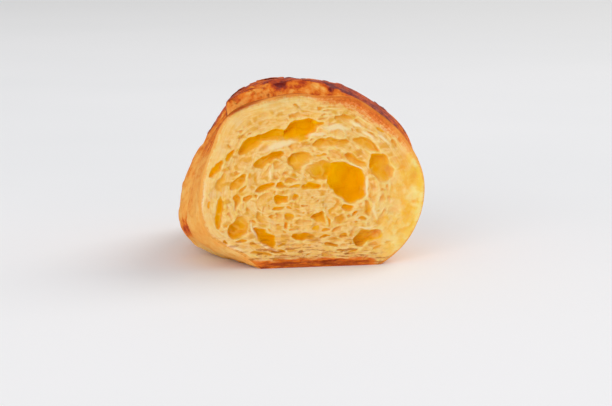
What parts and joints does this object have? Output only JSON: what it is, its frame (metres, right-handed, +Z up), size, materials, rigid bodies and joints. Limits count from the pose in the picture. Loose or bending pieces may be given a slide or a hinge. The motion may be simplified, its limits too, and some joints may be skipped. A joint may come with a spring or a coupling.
{
  "type": "half croissant",
  "caption": "Half of a rolled butter croissant, cut across near its middle, with open crumb on the cut face and a stepped crust tapering to one tip.",
  "frame": {"origin": "middle of the bounding box in X and Y, on the table that the base rests on", "axes": "+Z up, -Y out of the cut face, +Y towards the tip, +X to the right as seen facing the cut face"},
  "size_m": [0.0724, 0.0742, 0.0558],
  "materials": {
    "crust": "golden to deep brown baked crust with a thin egg-wash gloss on top",
    "crumb": "soft butter-yellow crumb, pale at the cut edges and amber inside the bubbles"
  },
  "bodies": {
    "root": {"half_croissant": "crust"}
  },
  "joints": []
}
